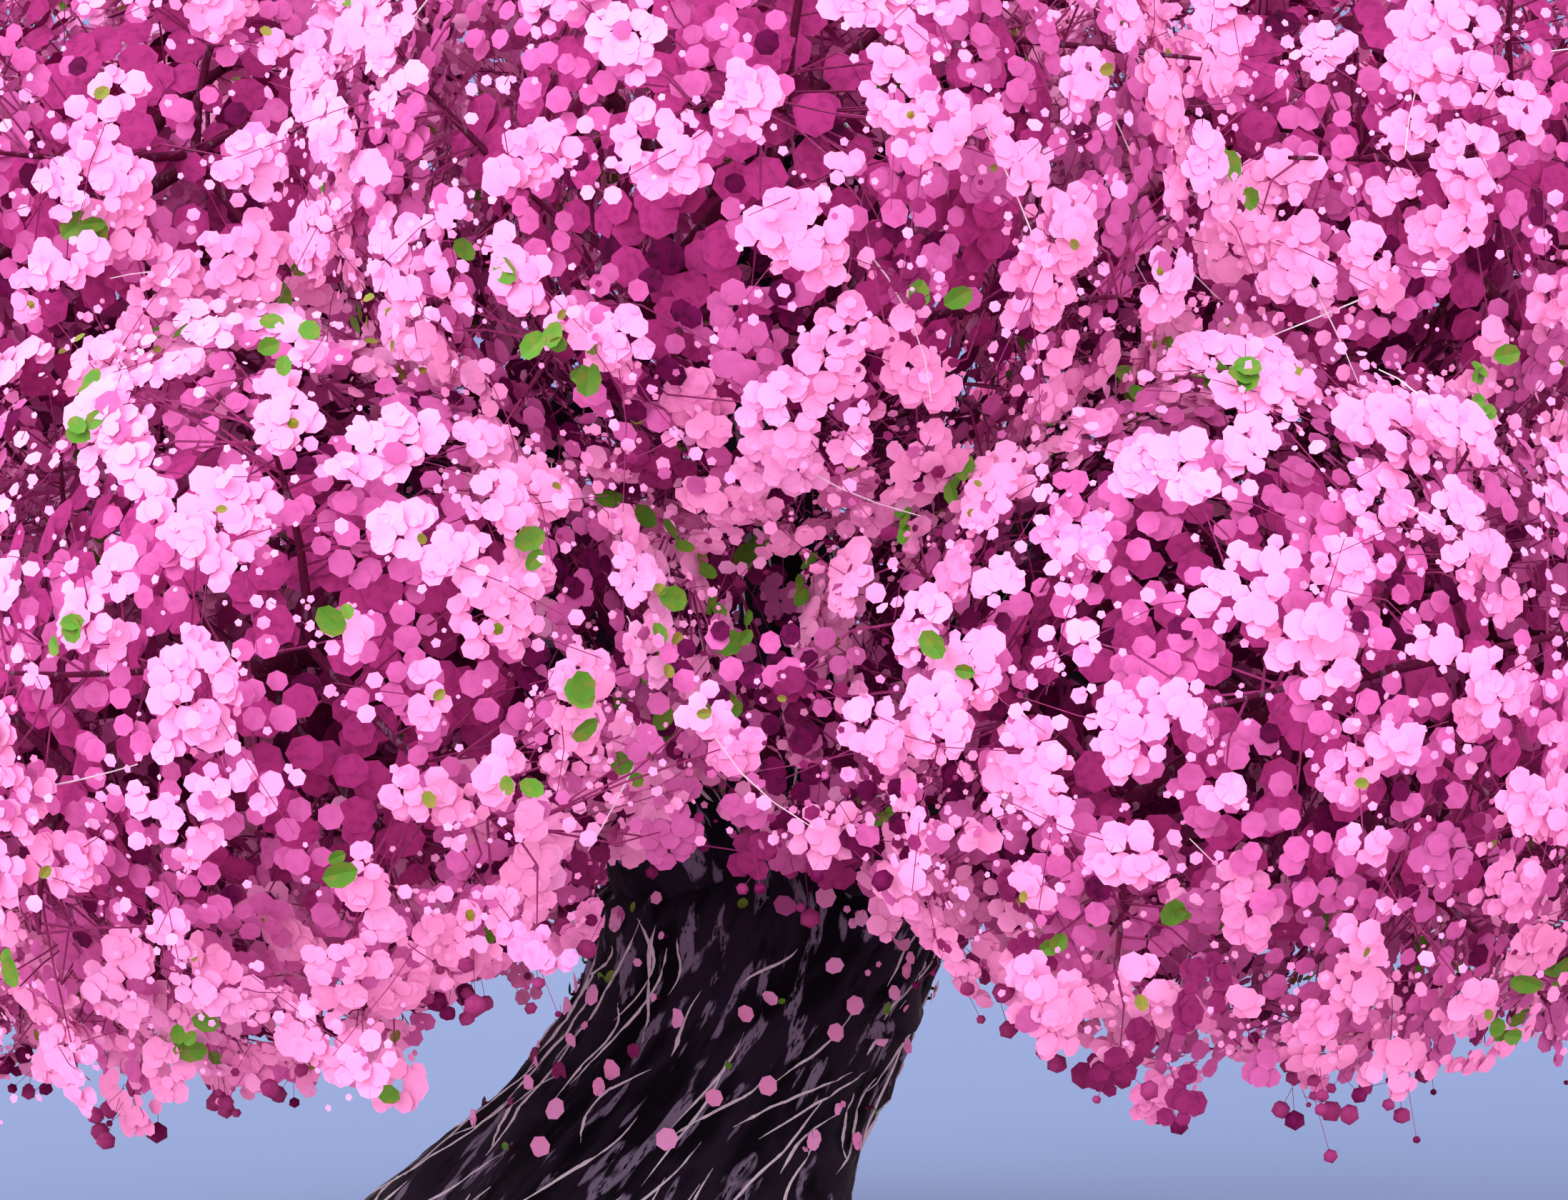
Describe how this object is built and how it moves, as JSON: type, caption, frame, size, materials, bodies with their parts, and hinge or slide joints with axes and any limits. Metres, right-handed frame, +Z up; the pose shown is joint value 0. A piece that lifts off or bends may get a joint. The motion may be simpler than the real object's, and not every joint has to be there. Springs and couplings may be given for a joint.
{
  "type": "cherry blossom tree",
  "caption": "Stout, leaning cherry tree with a flared foot, a low fork and a broad dome of pink blossom masses that hangs nearly to the ground.",
  "frame": {"origin": "middle of the flat cut under the trunk, at ground level", "axes": "+Z up, +X to the side that the trunk leans to, the front of the tree faces -Y"},
  "size_m": [5.1815, 5.1325, 4.5262],
  "materials": {
    "bark": "rough bark",
    "blossom": "soft matt petals"
  },
  "bodies": {
    "root": {"trunk": "bark", "bough_1": "bark", "bough_1_cross": "bark", "bough_1_low_1": "bark", "bough_1_low_2": "bark", "bough_2": "bark", "bough_2_cross": "bark", "bough_2_low_1": "bark", "bough_2_low_2": "bark", "bough_3": "bark", "bough_3_cross": "bark", "bough_3_low_1": "bark", "bough_3_low_2": "bark", "bough_4": "bark", "bough_4_cross": "bark", "bough_4_low_1": "bark", "bough_4_low_2": "bark", "leader": "bark", "leader_side_1": "bark", "leader_side_2": "bark", "leader_side_3": "bark", "leader_side_4": "bark", "blossom_shoulder_1": "blossom", "blossom_shoulder_2": "blossom", "blossom_shoulder_3": "blossom", "blossom_shoulder_4": "blossom", "blossom_skirt_1": "blossom", "blossom_skirt_2": "blossom", "blossom_skirt_3": "blossom", "blossom_skirt_4": "blossom", "blossom_skirt_5": "blossom", "blossom_skirt_6": "blossom", "blossom_skirt_7": "blossom", "blossom_skirt_8": "blossom", "blossom_top": "blossom", "blossom_waist_1": "blossom", "blossom_waist_2": "blossom", "blossom_waist_3": "blossom", "blossom_waist_4": "blossom", "blossom_waist_5": "blossom", "blossom_waist_6": "blossom", "blossom_waist_7": "blossom", "blossom_waist_8": "blossom"}
  },
  "joints": []
}
